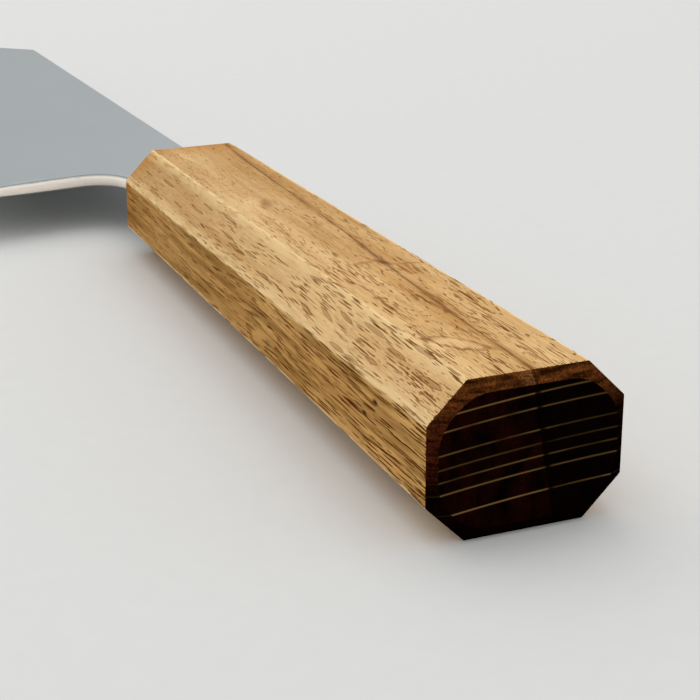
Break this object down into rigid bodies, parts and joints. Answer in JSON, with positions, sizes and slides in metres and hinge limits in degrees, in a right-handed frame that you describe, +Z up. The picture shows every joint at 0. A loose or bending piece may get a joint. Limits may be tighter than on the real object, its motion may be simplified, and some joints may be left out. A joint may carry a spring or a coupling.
{
  "type": "bunka knife",
  "caption": "Kitchen knife with a broad clipped-tip bunka blade, rounded choil and hidden tang bedded in a tapered octagonal wooden handle.",
  "frame": {"origin": "middle of the handle's lower side, the flat face that the knife lies on", "axes": "+X along the handle towards the tip, +Y towards the cutting edge, +Z up out of the surface that the handle lies on"},
  "size_m": [0.3008, 0.0499, 0.0193],
  "materials": {
    "satin_steel": "satin faces with polished spine and choil",
    "oiled_oak": "oiled, open pores",
    "dark_epoxy": "cast, gloss"
  },
  "bodies": {
    "root": {"blade": "satin_steel", "handle": "oiled_oak", "tang_resin": "dark_epoxy"}
  },
  "joints": []
}
